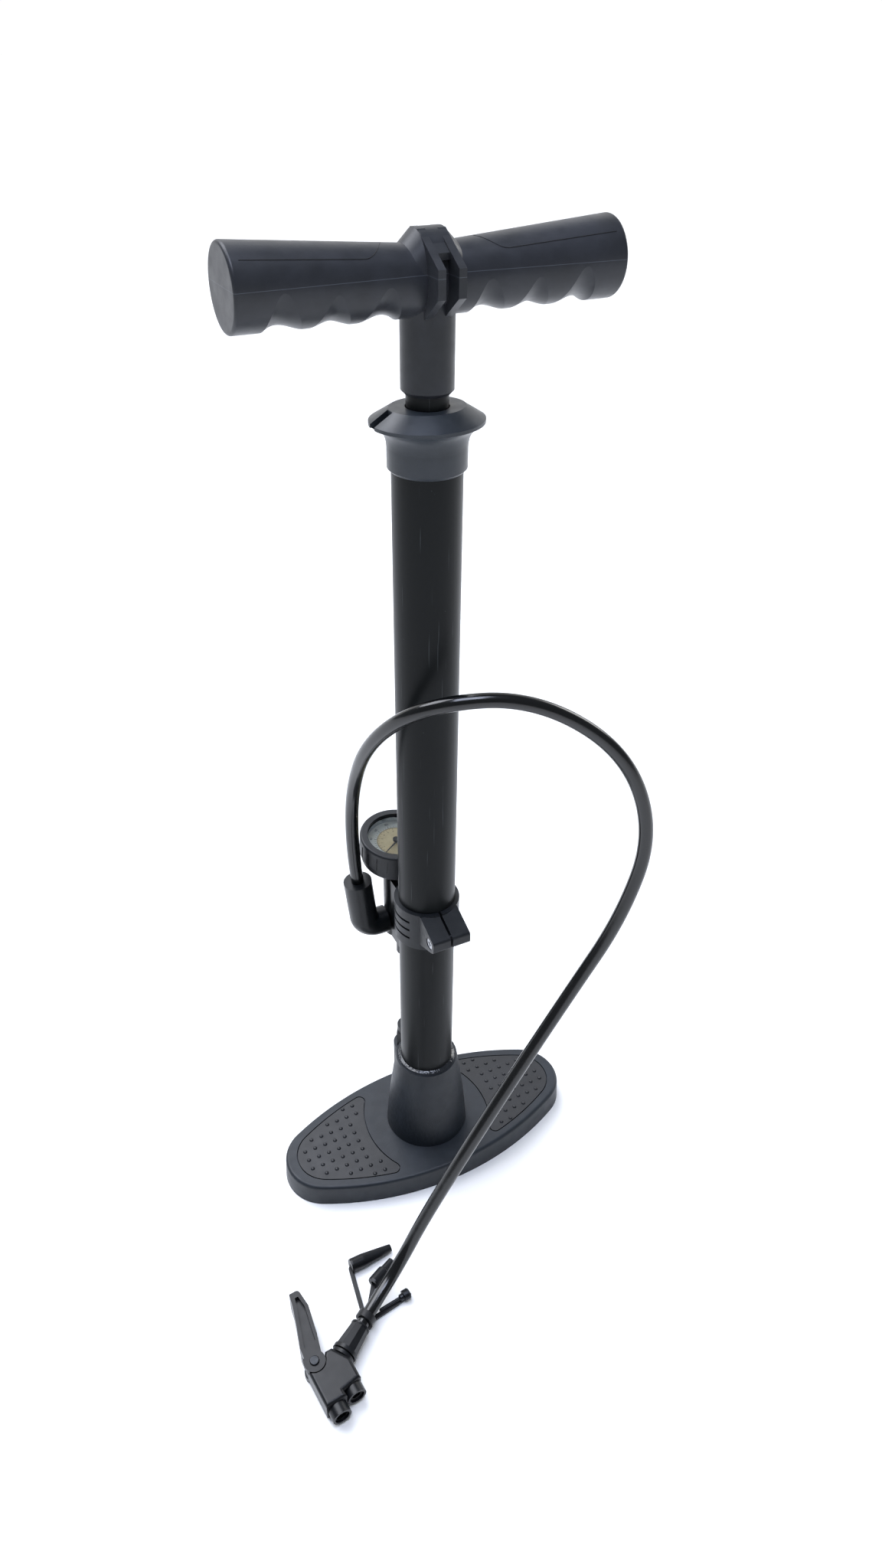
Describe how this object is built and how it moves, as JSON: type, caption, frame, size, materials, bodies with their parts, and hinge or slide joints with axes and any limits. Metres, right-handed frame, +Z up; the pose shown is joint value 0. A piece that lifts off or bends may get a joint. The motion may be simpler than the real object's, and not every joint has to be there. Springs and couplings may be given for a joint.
{
  "type": "floor bike pump",
  "caption": "Upright floor pump with a T handle, oval foot plate, gauge behind the barrel and a hose with a lever chuck.",
  "frame": {"origin": "on the floor under the barrel's axis, at the foot plate's underside", "axes": "+Z up along the barrel, +X along the foot plate and the handle, -Y to the user's side, +Y to the gauge"},
  "size_m": [0.2732, 0.2571, 0.6543],
  "materials": {
    "base_plastic": "moulded, fine texture, dark slate",
    "pad_rubber": "matte",
    "barrel_coat": "satin black powder coat",
    "handle_plastic": "satin moulded",
    "black_plastic": "moulded",
    "gloss_black": "semi gloss",
    "hose_pvc": "glossy black PVC",
    "steel": "zinc plated",
    "brass": "turned",
    "seal_rubber": "smooth",
    "clear": "clear polycarbonate",
    "bright_ring": "bright",
    "dial_paper": "printed tin, cream and grey",
    "sealant": "clear cured adhesive over black"
  },
  "bodies": {
    "root": {"base_plate": "base_plastic", "foot_pads": "pad_rubber", "base_screws": "steel", "barrel": "barrel_coat", "barrel_plug": "black_plastic", "plug_seal": "seal_rubber", "sealant_bead": "sealant", "valve_seat": "brass", "outlet_nut": "black_plastic", "air_pipe": "steel", "pipe_union": "black_plastic", "clamp_band": "black_plastic", "clamp_screw": "steel", "clamp_nut": "steel", "manifold": "black_plastic", "gauge_cup": "black_plastic", "gauge_bezel": "black_plastic", "gauge_lens": "clear", "reflector_ring": "bright_ring", "dial_plate": "dial_paper", "bourdon_tube": "brass", "gauge_stem": "brass", "hose_elbow": "black_plastic", "hose": "hose_pvc", "chuck_body": "gloss_black", "schrader_grommet": "seal_rubber", "presta_grommet": "seal_rubber", "hose_nut": "gloss_black", "hose_barb": "brass", "lever_pin": "steel", "adapter_strap": "seal_rubber", "cone_adapter": "gloss_black", "presta_adapter": "gloss_black", "ball_needle": "steel", "barrel_cap": "handle_plastic", "rod_bush": "black_plastic", "top_buffer": "seal_rubber"},
    "piston": {"piston_seal": "seal_rubber"},
    "plunger": {"piston_head": "black_plastic", "piston_screw": "steel", "piston_washer": "steel", "piston_nut": "steel", "piston_rod": "barrel_coat", "rod_plug": "black_plastic", "handle": "handle_plastic", "handle_screw": "steel"},
    "needle": {"gauge_needle": "gloss_black"},
    "valve": {"check_disc": "seal_rubber"},
    "lever": {"chuck_lever": "gloss_black"}
  },
  "joints": [
    {"name": "pump_stroke", "type": "slide", "parent": "root", "child": "piston", "axis": [0, 0, 1], "range_m": [0, 0.46]},
    {"name": "handle_spin", "type": "hinge", "parent": "piston", "child": "plunger", "pos_m": [0, 0, 0.6], "axis": [0, 0, 1], "continuous": true},
    {"name": "gauge_reading", "type": "hinge", "parent": "root", "child": "needle", "pos_m": [0, 0.049, 0.266], "axis": [0, -0.1219, 0.9925], "range_deg": [-250, 0], "stiffness_Nm_per_rad": 0.0005},
    {"name": "check_valve", "type": "slide", "parent": "root", "child": "valve", "axis": [0, 0, 1], "range_m": [0, 0.0015]},
    {"name": "chuck_lever_swing", "type": "hinge", "parent": "root", "child": "lever", "pos_m": [-0.1492, -0.1436, 0.009], "axis": [0, 0, 1], "range_deg": [0, 82]}
  ]
}
